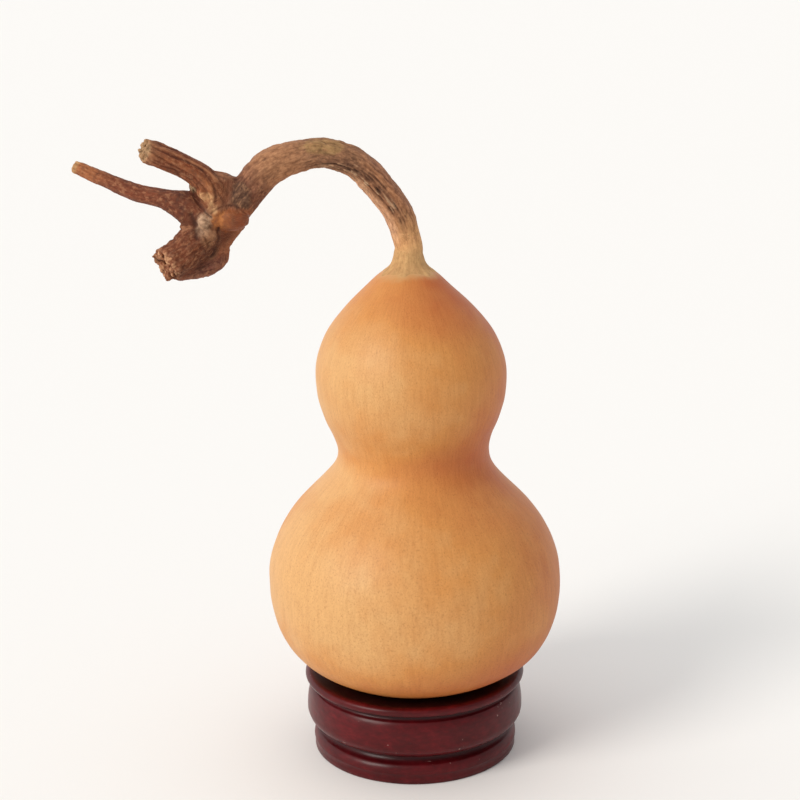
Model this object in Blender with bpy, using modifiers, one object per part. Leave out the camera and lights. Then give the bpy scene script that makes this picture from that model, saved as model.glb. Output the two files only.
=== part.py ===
"""A dried bottle gourd with its arched stem and a stub of its vine, sitting in a turned wooden stand.

Three pieces: the double-bulbed fruit, the dried stem with the cut vine it grew from, and the stand.
The frame is in metres with +Z up. Its origin is the centre of the stand's flat underside, and the
stem arches towards -X. Dimensions below are in millimetres and are turned to metres where used.
"""

import math

import bmesh
import bpy
import numpy as np
from mathutils import Matrix, Vector

MM = 0.001

# Pieces that touch keep this gap between their faces.
CONTACT_GAP = 0.3

# The stand, a lathe-turned block: a rim, a wide ovolo, a foot ring, and a dish that the fruit sits in.
STAND_STEPS = 52
FOOT_R = 32.8
FOOT_STEP = 0.25
FOOT_STEP_Z = 3.4
FOOT_TOP_Z = 6.5
FOOT_SHOULDER = 1.8
FOOT_EDGE = 0.4
LOWER_GROOVE_R = 29.2
LOWER_GROOVE_Z = 7.3
OVOLO_LOW_R = 29.9
OVOLO_LOW_Z = 9.0
OVOLO_R = 34.8
OVOLO_Z = 13.5
OVOLO_HIGH_R = 32.9
OVOLO_HIGH_Z = 21.4
UPPER_GROOVE_R = 32.6
UPPER_GROOVE_Z = 22.7
RIM_R = 35.3
RIM_ROUND = 1.4
RIM_Z = 24.9
SEAT_R = 24.5
# The seat clears the lowest side of the fruit by the contact gap.
SEAT_Z = 24.8
DISH_EDGE_R = 22.0
DISH_EDGE_Z = 22.2
DISH_FLOOR_Z = 19.4

# The fruit: (radius, height) stations of its outline, from the blossom end to the stem end.
GOURD_OUTLINE = [
    (0.0, 21.9),
    (9.5, 22.3),
    (19.2, 23.7),
    (29.0, 27.3),
    (38.1, 33.1),
    (43.0, 40.0),
    (45.5, 48.0),
    (46.2, 56.0),
    (45.4, 64.0),
    (42.5, 72.0),
    (37.4, 80.0),
    (29.9, 88.0),
    (24.9, 94.0),
    (23.6, 99.0),
    (24.8, 104.4),
    (27.2, 110.0),
    (29.2, 117.5),
    (29.3, 126.5),
    (25.9, 136.0),
    (20.0, 144.0),
    (13.0, 151.0),
    (8.3, 155.2),
    (4.2, 157.2),
    (0.0, 157.6),
]
GOURD_SIDES = 54
GOURD_ROWS = 36
# The fruit's own axis wanders a little from the stand's: an offset, a lean and a bend at the waist.
AXIS_OFFSET = 0.3
AXIS_LEAN = -0.0087
BELLY_Z = 58.0
WAIST_Z = 98.0
WAIST_SHIFT = 0.45
WAIST_SPREAD = 7.0
# It is also a little out of round: a wide side, and three faint lobes.
OVAL_SHARE = 0.008
LOBE_SHARE = 0.006

# The stem's foot, a flared cap over the fruit's tip: (radius, height) stations, up from its rim.
FOOT_FLARE = [(9.1, 155.1), (8.5, 156.0), (6.8, 157.0), (5.45, 158.3), (4.8, 159.5), (4.4, 160.9)]

# Centrelines of the stem's limbs: (x, y, z, radius) stations.
ARCH = [
    (-0.3, 0.0, 162.6, 4.2),
    (-1.2, 0.0, 166.2, 4.3),
    (-3.4, -0.5, 173.3, 4.5),
    (-8.5, -1.0, 180.7, 4.6),
    (-14.6, -2.0, 187.5, 4.4),
    (-20.6, -3.0, 190.7, 4.3),
    (-26.9, -3.5, 191.9, 4.5),
    (-33.4, -4.0, 190.9, 4.7),
    (-39.5, -4.5, 189.1, 5.2),
    (-43.9, -5.0, 186.2, 5.45),
    (-48.2, -5.5, 181.7, 5.35),
    (-52.5, -6.0, 176.6, 5.5),
    (-55.5, -6.3, 173.2, 5.0),
]
UPPER_VINE = [
    (-54.0, -5.0, 173.6, 5.0),
    (-57.0, -6.6, 179.6, 4.3),
    (-61.2, -7.8, 185.3, 3.6),
    (-66.3, -9.4, 189.0, 3.2),
    (-73.3, -11.4, 192.5, 3.4),
    (-78.3, -12.8, 194.6, 3.3),
]
LEAF_STALK = [
    (-57.0, -6.0, 170.8, 5.6),
    (-61.8, -6.0, 172.8, 5.6),
    (-65.6, -5.8, 176.0, 5.3),
    (-70.2, -5.0, 177.8, 3.9),
    (-74.8, -4.0, 179.2, 2.9),
    (-81.7, -2.0, 180.4, 2.65),
    (-91.1, 0.0, 184.1, 2.3),
    (-101.0, 2.0, 188.2, 1.9),
]
LOWER_VINE = [
    (-55.5, -4.0, 173.6, 5.4),
    (-60.4, -6.0, 169.6, 6.0),
    (-63.7, -8.2, 166.5, 5.8),
    (-67.8, -11.0, 163.2, 5.4),
    (-72.3, -13.6, 160.2, 5.3),
]
BARK_FOLD = [
    (-52.0, -5.6, 173.0, 3.6),
    (-53.6, -5.2, 169.2, 3.5),
    (-55.8, -4.9, 165.4, 3.2),
    (-56.4, -4.8, 161.4, 3.1),
    (-59.6, -5.8, 158.2, 2.7),
    (-64.4, -8.0, 156.6, 2.3),
    (-68.4, -10.4, 155.7, 1.9),
]
# Lumps of the node: (centre, half sizes, turn about Y in degrees).
NODE_LUMPS = [
    ((-56.6, -6.2, 174.4), (7.2, 6.6, 6.9), 0.0),
    ((-53.2, -8.4, 173.6), (5.0, 4.6, 3.7), 12.0),
    ((-55.2, -6.0, 185.2), (4.8, 3.0, 2.9), 20.0),
    ((-60.2, -10.0, 178.4), (2.4, 2.4, 2.2), 30.0),
    ((-61.0, -10.6, 171.6), (2.6, 2.4, 3.0), 20.0),
    ((-63.6, -5.6, 182.2), (1.8, 2.0, 2.1), 0.0),
    ((-66.3, -8.4, 170.7), (2.2, 2.2, 1.8), 10.0),
    ((-60.3, -4.8, 161.0), (3.4, 2.8, 2.6), 0.0),
    ((-71.9, -12.6, 157.0), (1.5, 1.5, 3.0), 8.0),
]
LUMP_SIDES = 16

# Fibre bundles that stand out of the vine's two broken ends.
BUNDLE_SIDES = 6
LOWER_BUNDLES = 11
UPPER_BUNDLES = 5
GOLDEN_TURN = math.radians(137.5)


def clear_scene():
    for obj in list(bpy.data.objects):
        bpy.data.objects.remove(obj, do_unlink=True)


def new_collection(name):
    made = bpy.data.collections.new(name)
    bpy.context.scene.collection.children.link(made)
    return made


def finish_of(name, colour, roughness):
    """A Principled material of one linear colour."""
    made = bpy.data.materials.new(name)
    made.use_nodes = True
    shader = made.node_tree.nodes["Principled BSDF"]
    shader.inputs["Base Color"].default_value = (*colour, 1.0)
    shader.inputs["Roughness"].default_value = roughness
    shader.inputs["Metallic"].default_value = 0.0
    made.diffuse_color = (*colour, 1.0)
    return made


def smooth_curve(stations, count):
    """count points on a Catmull-Rom curve through the stations, evenly spaced along it."""
    knots = np.array(stations, float)
    before = 2 * knots[0] - knots[1]
    after = 2 * knots[-1] - knots[-2]
    padded = np.vstack([before, knots, after])
    fine = []
    share = np.linspace(0, 1, 24, endpoint=False)[:, None]
    for a, b, c, d in zip(padded[:-3], padded[1:-2], padded[2:-1], padded[3:]):
        bend = (2 * a - 5 * b + 4 * c - d) * share**2
        turn = (3 * b - a - 3 * c + d) * share**3
        fine.append(0.5 * (2 * b + (c - a) * share + bend + turn))
    fine = np.vstack([*fine, knots[-1:]])
    steps = np.linalg.norm(np.diff(fine, axis=0), axis=1)
    along = np.concatenate([[0.0], np.cumsum(steps)])
    wanted = np.linspace(0, along[-1], count)
    return np.stack([np.interp(wanted, along, column) for column in fine.T], axis=1)


def arc(centre, half_sizes, start, end, count):
    """Points of an elliptical arc in the profile's plane, angles in degrees from +X."""
    angles = [math.radians(start + (end - start) * i / (count - 1)) for i in range(count)]
    return [
        (centre[0] + half_sizes[0] * math.cos(a), centre[1] + half_sizes[1] * math.sin(a))
        for a in angles
    ]


def object_from(bm, name, home):
    mesh = bpy.data.meshes.new(name)
    bm.to_mesh(mesh)
    bm.free()
    made = bpy.data.objects.new(name, mesh)
    home.objects.link(made)
    return made


def stand_profile():
    """The stand's half section, from the dish's centre out over the rim and down to the underside."""
    rim_centre = (RIM_R - RIM_ROUND, RIM_Z)
    top_z = RIM_Z + RIM_ROUND
    upper_half = (OVOLO_R - OVOLO_HIGH_R, OVOLO_HIGH_Z - OVOLO_Z)
    lower_half = (OVOLO_R - OVOLO_LOW_R, OVOLO_Z - OVOLO_LOW_Z)
    points = [
        (0.0, DISH_FLOOR_Z),
        (0.5 * DISH_EDGE_R, DISH_FLOOR_Z + 0.2 * (DISH_EDGE_Z - DISH_FLOOR_Z)),
        (0.8 * DISH_EDGE_R, DISH_FLOOR_Z + 0.5 * (DISH_EDGE_Z - DISH_FLOOR_Z)),
        (DISH_EDGE_R, DISH_EDGE_Z),
        (SEAT_R, SEAT_Z),
        (0.7 * rim_centre[0] + 0.3 * SEAT_R, top_z - 0.3),
    ]
    points += arc(rim_centre, (RIM_ROUND, RIM_ROUND), 90, -60, 7)
    points.append((UPPER_GROOVE_R, UPPER_GROOVE_Z))
    points += arc((OVOLO_HIGH_R, OVOLO_Z), upper_half, 90, 0, 6)[:-1]
    points += arc((OVOLO_LOW_R, OVOLO_Z), lower_half, 0, -90, 6)
    points.append((LOWER_GROOVE_R, LOWER_GROOVE_Z))
    shoulder = (FOOT_SHOULDER, FOOT_TOP_Z - FOOT_STEP_Z)
    points += arc((FOOT_R - FOOT_SHOULDER, FOOT_STEP_Z), shoulder, 80, 0, 5)
    points += [
        (FOOT_R - FOOT_STEP, FOOT_STEP_Z - FOOT_STEP),
        (FOOT_R - FOOT_STEP, FOOT_EDGE),
        (FOOT_R - FOOT_STEP - FOOT_EDGE, 0.0),
        (0.0, 0.0),
    ]
    return points


def make_stand(home):
    """The profile turned about Z by a Screw modifier."""
    bm = bmesh.new()
    verts = [bm.verts.new((r * MM, 0.0, z * MM)) for r, z in stand_profile()]
    for a, b in zip(verts, verts[1:]):
        bm.edges.new((a, b))
    stand = object_from(bm, "turned_stand", home)
    screw = stand.modifiers.new("turned", "SCREW")
    screw.steps = STAND_STEPS
    screw.render_steps = STAND_STEPS
    screw.use_merge_vertices = True
    screw.merge_threshold = 0.00001
    screw.use_smooth_shade = True
    return stand


def gourd_axis(z):
    """Where the fruit's own axis is in X at a height, in millimetres."""
    bend = WAIST_SHIFT * math.exp(-(((z - WAIST_Z) / WAIST_SPREAD) ** 2))
    return AXIS_OFFSET + AXIS_LEAN * (z - BELLY_Z) + bend


def gourd_point(outline, up, around):
    """A point of the fruit's skin: up runs 0 to 1 along the outline, around is the angle about the axis."""
    place = up * (len(outline) - 1)
    radius, z = (
        float(np.interp(place, range(len(outline)), outline[:, k])) for k in (0, 1)
    )
    uneven = OVAL_SHARE * math.cos(2 * around + 0.6) + LOBE_SHARE * math.cos(3 * around - 1.0)
    radius *= 1 + uneven * min(1.0, radius / 20.0)
    return Vector(
        (
            (gourd_axis(z) + radius * math.cos(around)) * MM,
            radius * math.sin(around) * MM,
            z * MM,
        )
    )


def make_gourd(home):
    """A sphere whose rows are drawn out to the fruit's outline."""
    outline = smooth_curve(GOURD_OUTLINE, 4 * GOURD_ROWS)
    bm = bmesh.new()
    bmesh.ops.create_uvsphere(bm, u_segments=GOURD_SIDES, v_segments=GOURD_ROWS, radius=1.0)
    for vert in bm.verts:
        up = 1 - math.acos(max(-1.0, min(1.0, vert.co.z))) / math.pi
        vert.co = gourd_point(outline, up, math.atan2(vert.co.y, vert.co.x))
    gourd = object_from(bm, "gourd_fruit", home)
    gourd.data.shade_smooth()
    return gourd


def ring_frames(centres):
    """Two unit vectors across the path at each centre, carried along it without twisting."""
    tangents = np.gradient(centres, axis=0)
    tangents /= np.linalg.norm(tangents, axis=1)[:, None]
    side = np.cross(tangents[0], (0.0, 1.0, 0.0))
    frames = []
    for tangent in tangents:
        side = side - tangent * (side @ tangent)
        side = side / np.linalg.norm(side)
        frames.append((side, np.cross(tangent, side)))
    return frames


def ridged(angle, ridges, depth, turn):
    """How a limb's radius swells on its ridges and sinks in its furrows."""
    main = depth * math.cos(ridges * angle + turn)
    fine = 0.4 * depth * math.cos((2 * ridges + 1) * angle - 1.7 * turn)
    return 1 + main + fine


def skin(name, rings, home, dome=0.0):
    """A closed solid over rings of points, in millimetres, with a fan of triangles at each end.
    dome lifts the last fan's centre."""
    bm = bmesh.new()
    grid = [[bm.verts.new(Vector(p) * MM) for p in ring] for ring in rings]
    sides = len(rings[0])
    for low, high in zip(grid, grid[1:]):
        for i in range(sides):
            j = (i + 1) % sides
            bm.faces.new((low[i], low[j], high[j], high[i]))
    for ring, inner, turned in ((grid[0], grid[1], True), (grid[-1], grid[-2], False)):
        middle = sum((v.co for v in ring), Vector()) / sides
        behind = sum((v.co for v in inner), Vector()) / sides
        lift = (middle - behind).normalized() * (0.0 if turned else dome * MM)
        tip = bm.verts.new(middle + lift)
        for i in range(sides):
            j = (i + 1) % sides
            bm.faces.new((ring[j], ring[i], tip) if turned else (ring[i], ring[j], tip))
    bmesh.ops.recalc_face_normals(bm, faces=bm.faces)
    bmesh.ops.triangulate(bm, faces=bm.faces)
    return object_from(bm, name, home)


def limb_rings(stations, count, sides, ridges, depth, twist):
    """Ridged rings along a centreline of (x, y, z, radius) stations."""
    path = smooth_curve(stations, count)
    rings = []
    for k, (row, (across, over)) in enumerate(zip(path, ring_frames(path[:, :3]))):
        turn = twist * k / (count - 1)
        ring = []
        for i in range(sides):
            angle = 2 * math.pi * i / sides
            radius = row[3] * ridged(angle, ridges, depth, turn)
            ring.append(row[:3] + radius * (across * math.cos(angle) + over * math.sin(angle)))
        rings.append(ring)
    return rings


def limb(name, stations, count, home, sides=16, ridges=5, depth=0.06, twist=1.2, dome=0.6):
    return skin(name, limb_rings(stations, count, sides, ridges, depth, twist), home, dome)


def make_arch(home):
    """The stalk: a flared foot that caps the fruit's tip, then the arch up and over to the node."""
    sides = 20
    tip_x = gourd_axis(GOURD_OUTLINE[-1][1])
    under = [(3.0, GOURD_OUTLINE[-1][1] + CONTACT_GAP)]
    under += [(r, z + 1.5 * CONTACT_GAP) for r, z in reversed(GOURD_OUTLINE[-3:-1])]
    rows = under + FOOT_FLARE
    rings = limb_rings(ARCH, 46, sides, 5, 0.07, 2.0)
    first = np.array(rings[0])
    middle = first.mean(axis=0)
    spread = np.linalg.norm(first - middle, axis=1) / ARCH[0][3]
    angles = np.arctan2(first[:, 1] - middle[1], first[:, 0] - middle[0])
    foot = []
    for k, (radius, z) in enumerate(rows):
        wavy = 1 + (spread - 1) * k / len(rows)
        x = tip_x + radius * wavy * np.cos(angles)
        y = radius * wavy * np.sin(angles)
        foot.append(np.stack([x, y, np.full(sides, z)], axis=1))
    return skin("dried_stem", foot + rings, home)


def make_lump(index, centre, half_sizes, turn, home):
    """A small sphere stretched into a knob of the node, with a wavy surface."""
    bm = bmesh.new()
    bmesh.ops.create_uvsphere(bm, u_segments=LUMP_SIDES, v_segments=LUMP_SIDES // 2, radius=1.0)
    for vert in bm.verts:
        wave = math.sin(4 * vert.co.x + index) * math.cos(5 * vert.co.z - 2 * index)
        vert.co *= 1 + 0.07 * wave
    size = Matrix.Diagonal((*(s * MM for s in half_sizes), 1.0))
    place = Matrix.Translation(Vector(centre) * MM)
    bm.transform(place @ Matrix.Rotation(math.radians(turn), 4, "Y") @ size)
    bmesh.ops.triangulate(bm, faces=bm.faces)
    return object_from(bm, f"node_lump_{index}", home)


def make_bundles(name, stations, count, home):
    """Broken fibre bundles set in a spiral over a vine's end, some longer than others."""
    tip = np.array(stations[-1])
    root = np.array(stations[-2])
    outward = Vector(tip[:3] - root[:3]).normalized()
    turn = outward.to_track_quat("Z", "Y").to_matrix().to_4x4()
    for k in range(count):
        away = 0.78 * tip[3] * math.sqrt((k + 0.3) / count)
        size = tip[3] * (0.16 + 0.05 * math.cos(2.3 * k))
        stand_out = 0.7 + 0.9 * abs(math.sin(1.9 * k + 0.5))
        depth = 2.6 + stand_out
        bm = bmesh.new()
        bmesh.ops.create_cone(
            bm,
            cap_ends=True,
            segments=BUNDLE_SIDES,
            radius1=1.15 * size * MM,
            radius2=0.8 * size * MM,
            depth=depth * MM,
        )
        angle = k * GOLDEN_TURN
        offset = Vector((away * math.cos(angle), away * math.sin(angle), stand_out - depth / 2))
        place = Matrix.Translation(Vector(tip[:3]) * MM) @ turn @ Matrix.Translation(offset * MM)
        bm.transform(place)
        bmesh.ops.triangulate(bm, faces=bm.faces)
        object_from(bm, f"{name}_{k}", home)


def fuse(base, others):
    """Joins a collection's objects into the base object by one Boolean union, then removes them."""
    union = base.modifiers.new("fused", "BOOLEAN")
    union.operation = "UNION"
    union.operand_type = "COLLECTION"
    union.collection = others
    union.solver = "EXACT"
    graph = bpy.context.evaluated_depsgraph_get()
    joined = bpy.data.meshes.new_from_object(base.evaluated_get(graph))
    base.modifiers.clear()
    base.data = joined
    for obj in list(others.objects):
        bpy.data.objects.remove(obj, do_unlink=True)
    bpy.data.collections.remove(others)


def make_stem(home):
    """The stalk, the node and its four broken limbs, grown together as one solid."""
    stem = make_arch(home)
    limbs = new_collection("limbs of the node")
    limb("upper_vine", UPPER_VINE, 16, limbs, ridges=6, depth=0.08, dome=0.3)
    limb("leaf_stalk", LEAF_STALK, 20, limbs, sides=12, ridges=4, depth=0.07)
    limb("lower_vine", LOWER_VINE, 10, limbs, sides=18, ridges=6, depth=0.05, dome=0.2)
    limb("bark_fold", BARK_FOLD, 16, limbs, sides=12, ridges=3, depth=0.08)
    for index, (centre, half_sizes, turn) in enumerate(NODE_LUMPS):
        make_lump(index, centre, half_sizes, turn, limbs)
    make_bundles("lower_bundle", LOWER_VINE, LOWER_BUNDLES, limbs)
    make_bundles("upper_bundle", UPPER_VINE, UPPER_BUNDLES, limbs)
    fuse(stem, limbs)
    stem.data.shade_smooth()
    stem.data.set_sharp_from_angle(angle=math.radians(50))
    return stem


def main():
    clear_scene()
    home = new_collection("dried bottle gourd")
    stand = make_stand(home)
    gourd = make_gourd(home)
    stem = make_stem(home)
    stand.data.materials.append(finish_of("lacquered rosewood", (0.105, 0.017, 0.02), 0.22))
    gourd.data.materials.append(finish_of("dry gourd skin", (0.68, 0.33, 0.115), 0.5))
    stem.data.materials.append(finish_of("dry vine bark", (0.27, 0.125, 0.058), 0.85))


main()
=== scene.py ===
"""The looks of a dried bottle gourd that sits in a turned wooden stand.

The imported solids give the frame: metres, +Z up, with the origin at the centre of the stand's underside.
Three pieces replace its three nodes: the fruit's rind, the dried stem with its node of cut vine, and the
lacquered stand. Sizes and places below are in millimetres, unless a name or a comment says otherwise.
"""

from functools import partial
from math import cos, radians, sin, sqrt

import bpy
import numpy as np
from mathutils import Matrix


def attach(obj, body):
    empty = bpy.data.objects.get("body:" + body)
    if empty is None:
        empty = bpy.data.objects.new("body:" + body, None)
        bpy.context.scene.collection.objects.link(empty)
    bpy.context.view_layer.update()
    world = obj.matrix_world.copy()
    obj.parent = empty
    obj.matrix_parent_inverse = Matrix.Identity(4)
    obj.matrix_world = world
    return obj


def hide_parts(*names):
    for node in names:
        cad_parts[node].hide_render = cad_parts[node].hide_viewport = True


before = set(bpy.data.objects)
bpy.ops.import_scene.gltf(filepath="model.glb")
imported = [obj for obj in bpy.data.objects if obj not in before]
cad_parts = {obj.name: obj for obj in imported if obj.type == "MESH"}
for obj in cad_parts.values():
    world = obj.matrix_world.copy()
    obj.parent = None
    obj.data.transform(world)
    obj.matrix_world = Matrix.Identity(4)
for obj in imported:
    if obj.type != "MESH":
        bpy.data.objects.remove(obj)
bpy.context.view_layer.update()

MM = 0.001

# The camera: where it stands, how it is turned in degrees, and its lens in real millimetres.
CAMERA_PLACE = (-0.95, -499.7, 245.5)
CAMERA_PAN = -0.305
CAMERA_TILT = 14.66
CAMERA_ROLL = 0.70
CAMERA_LENS = 74.7

# The light: the key's strength, its apparent width, how far left of the camera and how high it is, in
# degrees, the direction in which the dome is brightest, and the dome's least and greatest strength.
KEY_STRENGTH = 1.80
KEY_WIDTH = 26.0
KEY_SIDE = 52.0
KEY_HEIGHT = 32.0
DOME_SIDE = (-0.55, 0.84, 0.0)
DOME_LEAST = 0.54
DOME_MOST = 1.06

# The fruit's outline, (radius, height), from the blossom end up, as in the part's source.
GOURD_OUTLINE = [
    (0.0, 21.9), (9.5, 22.3), (19.2, 23.7), (29.0, 27.3), (38.1, 33.1), (43.0, 40.0),
    (45.5, 48.0), (46.2, 56.0), (45.4, 64.0), (42.5, 72.0), (37.4, 80.0), (29.9, 88.0),
    (24.9, 94.0), (23.6, 99.0), (24.8, 104.4), (27.2, 110.0), (29.2, 117.5), (29.3, 126.5),
    (25.9, 136.0), (20.0, 144.0), (13.0, 151.0), (8.3, 155.2), (4.2, 157.2), (0.0, 157.6),
]
GOURD_ROWS = 260
GOURD_SIDES = 340
AXIS_OFFSET = 0.3
AXIS_LEAN = -0.0087
BELLY_Z = 58.0
WAIST_Z = 98.0
WAIST_SHIFT = 0.45
WAIST_SPREAD = 7.0
# How far it is from round: the share of its radius, and the turn in radians.
OVAL_SHARE, OVAL_TURN = 0.008, 0.6
LOBE_SHARE, LOBE_TURN = 0.006, -1.0
# Shallow dents of the dried rind: how wide and how deep.
DENT_WIDTH = 17.0
DENT_DEPTH = 0.22
# The rind's fibres are drawn round a drum of this radius, so their number stays the same at every height.
FIBRE_DRUM = 30.0
# Where the rind is painted palest and most golden, as painted light from the key's side, where its waist is
# reddest, and where its belly gets a painted highlight, in degrees about Z from +X.
PAINTED_LIGHT_SIDE = -149.0
REDDEST_SIDE = -30.0
PAINTED_HIGHLIGHT_SIDE = -125.0
# Redder and paler bands round the waist: how much redder, the height, the spread, and the shares of it that
# are the same all round and that go with the reddest side. The paler band is a painted highlight, strongest on
# the left.
WAIST_BANDS = ((0.34, 100.0, 11.0, 0.6, 0.4), (-0.36, 92.0, 4.5, 0.5, -0.5))

# The stand's section.
FOOT_R = 32.8
FOOT_STEP = 0.25
FOOT_STEP_Z = 3.4
FOOT_TOP_Z = 6.5
FOOT_SHOULDER = 1.8
FOOT_EDGE = 0.4
LOWER_GROOVE = (29.2, 7.3)
OVOLO_LOW_R = 29.9
OVOLO_LOW_Z = 9.0
OVOLO_R = 34.8
OVOLO_Z = 13.5
OVOLO_HIGH_R = 32.9
OVOLO_HIGH_Z = 21.4
UPPER_GROOVE = (32.0, 22.7)
RIM_R = 35.3
RIM_ROUND = 1.4
RIM_Z = 24.9
SEAT_R = 24.5
SEAT_Z = 24.8
DISH_EDGE_R = 22.0
DISH_EDGE_Z = 22.2
DISH_FLOOR_Z = 19.4
# How far the painted shade reaches from a groove, the points in a ring, and the spacing of the section's
# points.
GROOVE_SHADE_SPREAD = 0.9
STAND_SIDES = 300
STAND_STEP = 0.42

# The stem's limbs, (x, y, z, radius), within two millimetres of the part's source. The foot's
# stations are (radius, height).
FOOT_FLARE = [
    (6.0, 152.4), (9.1, 153.8), (8.1, 155.3), (6.3, 156.7), (5.3, 158.0), (4.8, 159.4), (4.4, 161.0),
]
ARCH = [
    (-0.3, 0.0, 162.6, 4.2), (-1.2, 0.0, 166.2, 4.3), (-3.4, -0.5, 173.3, 4.5),
    (-8.5, -1.0, 180.7, 4.6), (-14.6, -2.0, 187.5, 4.4), (-20.6, -3.0, 190.7, 4.3),
    (-26.9, -3.5, 191.9, 4.5), (-33.4, -4.0, 190.9, 4.7), (-39.5, -4.5, 189.1, 5.2),
    (-43.8, -5.0, 186.1, 5.3), (-47.9, -5.5, 181.5, 5.1), (-52.5, -6.0, 176.6, 5.5),
    (-55.5, -6.3, 173.2, 5.0),
]
UPPER_VINE = [
    (-54.0, -5.0, 173.6, 5.0), (-57.0, -6.6, 179.6, 4.5), (-61.2, -7.8, 185.3, 3.9),
    (-66.3, -9.4, 189.0, 3.5), (-72.8, -11.3, 192.3, 3.6), (-77.4, -12.6, 194.2, 3.5),
]
LEAF_STALK = [
    (-57.0, -6.0, 170.8, 5.6), (-61.8, -6.0, 172.8, 5.6), (-65.6, -5.8, 176.0, 5.3),
    (-70.2, -5.0, 177.8, 3.9), (-74.8, -4.0, 179.2, 2.9), (-81.7, -2.0, 180.4, 2.65),
    (-91.1, 0.0, 184.1, 2.3), (-100.9, 2.0, 188.2, 1.9),
]
LOWER_VINE = [
    (-55.5, -4.0, 173.6, 5.4), (-60.4, -6.0, 169.6, 6.0), (-63.7, -8.2, 166.5, 5.8),
    (-67.8, -11.0, 163.2, 5.4), (-72.3, -13.6, 160.2, 5.3),
]
BARK_FOLD = [
    (-52.8, -5.6, 172.4, 3.7), (-54.9, -5.2, 169.0, 3.3), (-57.0, -4.9, 165.4, 3.0),
    (-57.7, -4.8, 161.2, 3.1), (-60.0, -5.8, 158.9, 2.8), (-65.0, -8.0, 157.7, 2.4),
    (-70.0, -11.2, 157.0, 1.9),
]


def linear(colour):
    """An sRGB hex colour as linear red, green, blue and alpha."""
    parts = [int(colour[i : i + 2], 16) / 255 for i in (1, 3, 5)]
    return [c / 12.92 if c <= 0.04045 else ((c + 0.055) / 1.055) ** 2.4 for c in parts] + [1.0]


def feed(node, inputs):
    """Gives each of a node's inputs a value, or another node's output to link from."""
    for socket, value in dict(inputs).items():
        if isinstance(value, bpy.types.NodeSocket):
            node.id_data.links.new(value, node.inputs[socket])
        else:
            node.inputs[socket].default_value = value


def add_node(tree, kind, inputs=(), ramp=(), out=None, **settings):
    """Adds a shader node, feeds its inputs, and gives its output named out, or else its first one in use. ramp
    is a colour ramp's stops: (place, hex colour)."""
    made = tree.nodes.new("ShaderNode" + kind)
    for name, value in settings.items():
        setattr(made, name, value)
    feed(made, inputs)
    for i, (place, colour) in enumerate(ramp):
        stops = made.color_ramp.elements
        stop = stops[i] if i < 2 else stops.new(place)
        stop.position = place
        stop.color = linear(colour)
    return made.outputs[out] if out else next(s for s in made.outputs if s.enabled)


# Settings of a Mix node: one colour laid over another, and one multiplied by another.
OVER = {"data_type": "RGBA"}
TIMES = {"data_type": "RGBA", "blend_type": "MULTIPLY"}


def new_material(name):
    """A material, add_node for its tree, and its shader."""
    made = bpy.data.materials.new(name)
    made.use_nodes = True
    return made, partial(add_node, made.node_tree), made.node_tree.nodes["Principled BSDF"]


def speckled(add, colour, share, place, cell, detail, roughness, shades):
    """Multiplies a colour by the shades of a noise, as far as share says. The noise's cells have the given
    size in the units of its place. Gives the noise and the new colour."""
    stretch = add("Mapping", {"Vector": place, "Scale": [1 / size for size in cell]})
    noise = add("TexNoise", {"Vector": stretch, "Scale": 1.0, "Detail": detail, "Roughness": roughness})
    shade = add("ValToRGB", {"Fac": noise}, shades)
    return noise, add("Mix", {"Factor": share, "A": colour, "B": shade}, **TIMES)


def bell(value, middle, width):
    """1 at the middle, falling off smoothly to both sides: exp of minus the squared distance in widths."""
    return np.exp(-(((value - middle) / width) ** 2))


def smoothstep(low, high, value):
    """0 below low, 1 above high, and an eased rise between. high may be the smaller one."""
    share = np.clip((value - low) / (high - low), 0, 1)
    return share * share * (3 - 2 * share)


def lattice_noise(points, seed):
    """Smooth noise from -1 to 1: random values at the corners of a unit lattice, with eased weights
    between."""
    size = 48
    table = np.random.default_rng(seed).uniform(-1, 1, (size, size, size))
    cell = np.floor(points).astype(int)
    share = smoothstep(0, 1, points - cell)
    total = np.zeros(points.shape[:-1])
    for corner in np.ndindex(2, 2, 2):
        weight = np.where(corner, share, 1 - share).prod(axis=-1)
        i, j, k = np.moveaxis((cell + corner) % size, -1, 0)
        total += weight * table[i, j, k]
    return total


def layered_noise(points, seed, layers=3):
    """Lattice noise with finer layers on it, each half the size and half the height of the one before."""
    return sum(lattice_noise(points * 2**k, seed + k) / 2**k for k in range(layers))


# Steps between two stations of a curve, before its points are spaced evenly.
CURVE_STEPS = 32


def smooth_curve(stations, spacing):
    """Points about one spacing apart on a Catmull-Rom curve through the stations."""
    knots = np.array(stations, float)
    padded = np.vstack([2 * knots[0] - knots[1], knots, 2 * knots[-1] - knots[-2]])
    share = np.linspace(0, 1, CURVE_STEPS, endpoint=False)[:, None]
    pieces = []
    for a, b, c, d in zip(padded[:-3], padded[1:-2], padded[2:-1], padded[3:]):
        bend = (2 * a - 5 * b + 4 * c - d) * share**2
        turn = (3 * b - a - 3 * c + d) * share**3
        pieces.append(0.5 * (2 * b + (c - a) * share + bend + turn))
    fine = np.vstack([*pieces, knots[-1:]])
    along = arc_lengths(fine)
    wanted = np.linspace(0, along[-1], max(2, round(along[-1] / spacing) + 1))
    return np.stack([np.interp(wanted, along, column) for column in fine.T], axis=1)


def stacked(*columns):
    """Rows from columns, such as points from x, y and z, that are broadcast against each other."""
    return np.stack(np.broadcast_arrays(*columns), axis=-1)


def ring_values(grid):
    """A grid of values over rings as rows for wrapped_mesh's points, the two end points included."""
    rows = grid.reshape(grid.shape[0] * grid.shape[1], *grid.shape[2:])
    return np.concatenate([rows, grid[0].mean(axis=0)[None], grid[-1].mean(axis=0)[None]])


def arc_lengths(points):
    """How far along its path each point is. Only the first three columns are places."""
    steps = np.linalg.norm(np.diff(points[:, :3], axis=0), axis=1)
    return np.concatenate([[0.0], np.cumsum(steps)])


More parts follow.
